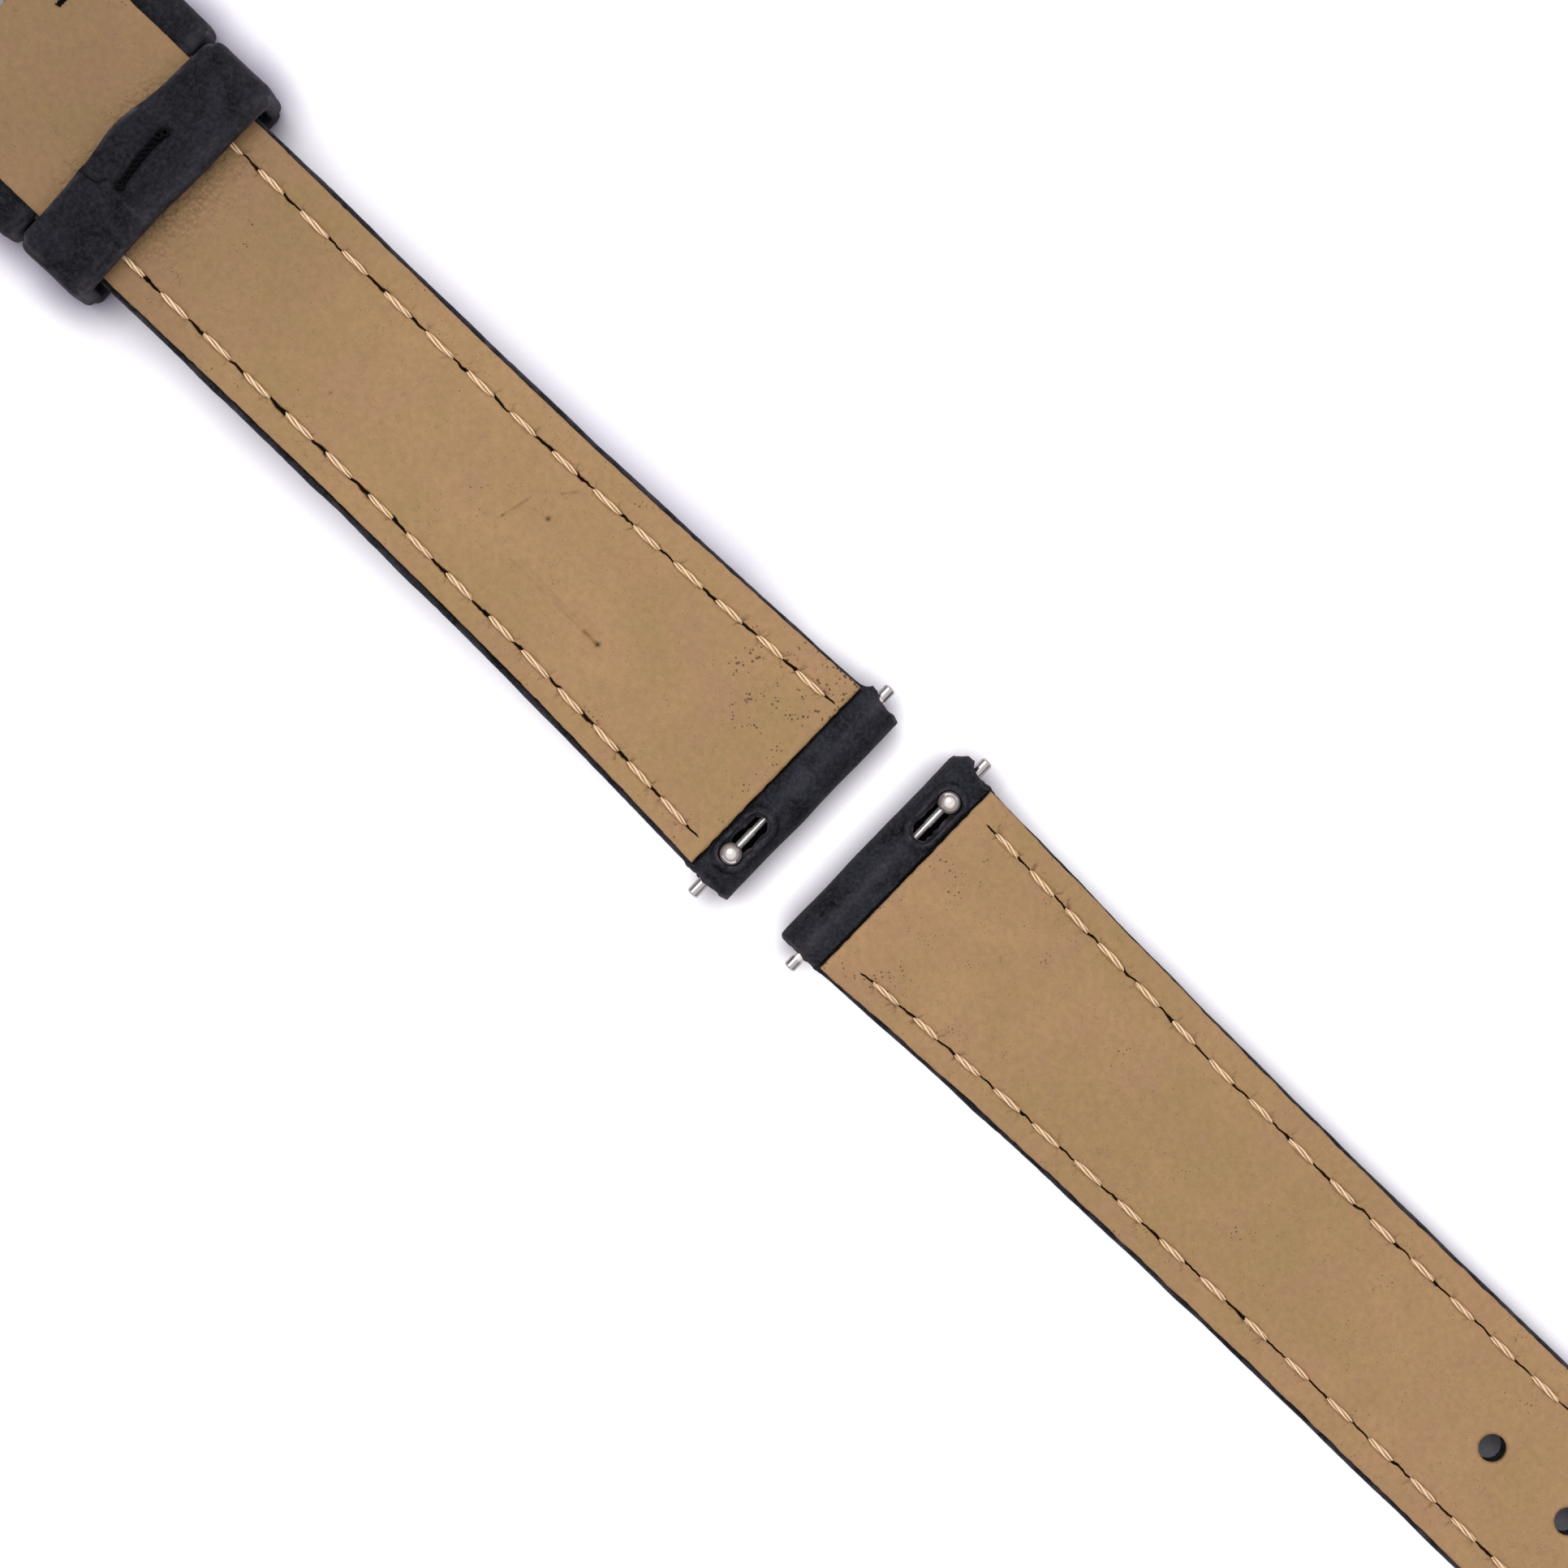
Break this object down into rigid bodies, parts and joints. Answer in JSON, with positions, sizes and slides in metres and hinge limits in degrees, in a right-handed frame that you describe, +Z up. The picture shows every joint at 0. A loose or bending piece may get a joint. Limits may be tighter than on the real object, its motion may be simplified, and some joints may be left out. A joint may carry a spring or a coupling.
{
  "type": "watch strap",
  "caption": "Two-piece padded leather watch strap with tan lining, keepers, pin buckle and quick-release spring bars, lying face down.",
  "frame": {"origin": "middle of the whole strap's box in plan, on the surface that the strap lies on, face down", "axes": "+X along the strap from the buckle to the tail, +Z up, out of the lining side"},
  "size_m": [0.2202, 0.0216, 0.0088],
  "materials": {
    "tan_lining": "smooth lining leather, matt, fine pores",
    "black_nubuck": "black nubuck, matt, softly mottled",
    "tan_thread": "twisted waxed thread",
    "black_thread": "twisted waxed thread",
    "bonded_core": "bonded fibre reinforcement",
    "padding_felt": "pressed felt padding",
    "polished_steel": "polished steel",
    "darkened_steel": "darkened steel tube, dull",
    "spring_steel": "drawn spring wire"
  },
  "bodies": {
    "short_half": {"short_face_leather": "black_nubuck", "short_padding": "padding_felt", "short_core": "bonded_core", "short_lining": "tan_lining", "short_lining_seams": "tan_thread", "short_face_seams": "black_thread", "fixed_keeper": "black_nubuck", "buckle_end_tacks": "black_thread", "short_bar_tube": "darkened_steel", "short_bar_fixed_tip": "polished_steel", "short_bar_spring": "spring_steel", "buckle_bar_tube": "polished_steel", "buckle_bar_spring": "spring_steel"},
    "long_half": {"long_face_leather": "black_nubuck", "long_padding": "padding_felt", "long_core": "bonded_core", "long_lining": "tan_lining", "long_lining_seams": "tan_thread", "long_face_seams": "black_thread", "long_bar_tube": "darkened_steel", "long_bar_fixed_tip": "polished_steel", "long_bar_spring": "spring_steel"},
    "floating_keeper": {"floating_keeper": "black_nubuck", "floating_keeper_stitch": "black_thread"},
    "short_release": {"short_bar_sliding_pin": "polished_steel", "short_bar_knob": "polished_steel"},
    "long_release": {"long_bar_sliding_pin": "polished_steel", "long_bar_knob": "polished_steel"},
    "buckle_frame": {"buckle_frame": "polished_steel"},
    "buckle_tongue": {"buckle_tongue": "polished_steel"},
    "buckle_tip_a": {"buckle_bar_tip_a": "polished_steel"},
    "buckle_tip_b": {"buckle_bar_tip_b": "polished_steel"}
  },
  "joints": [
    {"name": "keeper_slide", "type": "slide", "parent": "short_half", "child": "floating_keeper", "axis": [0.9994, 0, -0.0336], "range_m": [0, 0.045]},
    {"name": "short_release_slide", "type": "slide", "parent": "short_half", "child": "short_release", "axis": [0, 1, 0], "range_m": [0, 0.0015], "stiffness_N_per_m": 400, "springref_m": -0.0015, "deforming": ["short_bar_spring"]},
    {"name": "long_half_spacing", "type": "slide", "parent": "short_half", "child": "long_half", "axis": [1, 0, 0], "range_m": [0, 0.04]},
    {"name": "long_release_slide", "type": "slide", "parent": "long_half", "child": "long_release", "axis": [0, -1, 0], "range_m": [0, 0.0015], "stiffness_N_per_m": 400, "springref_m": -0.0015, "deforming": ["long_bar_spring"]},
    {"name": "buckle_swing", "type": "hinge", "parent": "short_half", "child": "buckle_frame", "pos_m": [-0.10157, -0.00042, 0.00541], "axis": [0, 1, 0], "range_deg": [-25, 140]},
    {"name": "tongue_swing", "type": "hinge", "parent": "buckle_frame", "child": "buckle_tongue", "pos_m": [-0.10157, -0.00042, 0.00541], "axis": [0, -1, 0], "range_deg": [0, 85]},
    {"name": "buckle_tip_a_slide", "type": "slide", "parent": "short_half", "child": "buckle_tip_a", "axis": [0, -1, 0], "range_m": [0, 0.0012], "stiffness_N_per_m": 400, "springref_m": -0.0015, "deforming": ["buckle_bar_spring"]},
    {"name": "buckle_tip_b_slide", "type": "slide", "parent": "short_half", "child": "buckle_tip_b", "axis": [0, 1, 0], "range_m": [0, 0.0012], "stiffness_N_per_m": 400, "springref_m": -0.0015, "deforming": ["buckle_bar_spring"]}
  ]
}
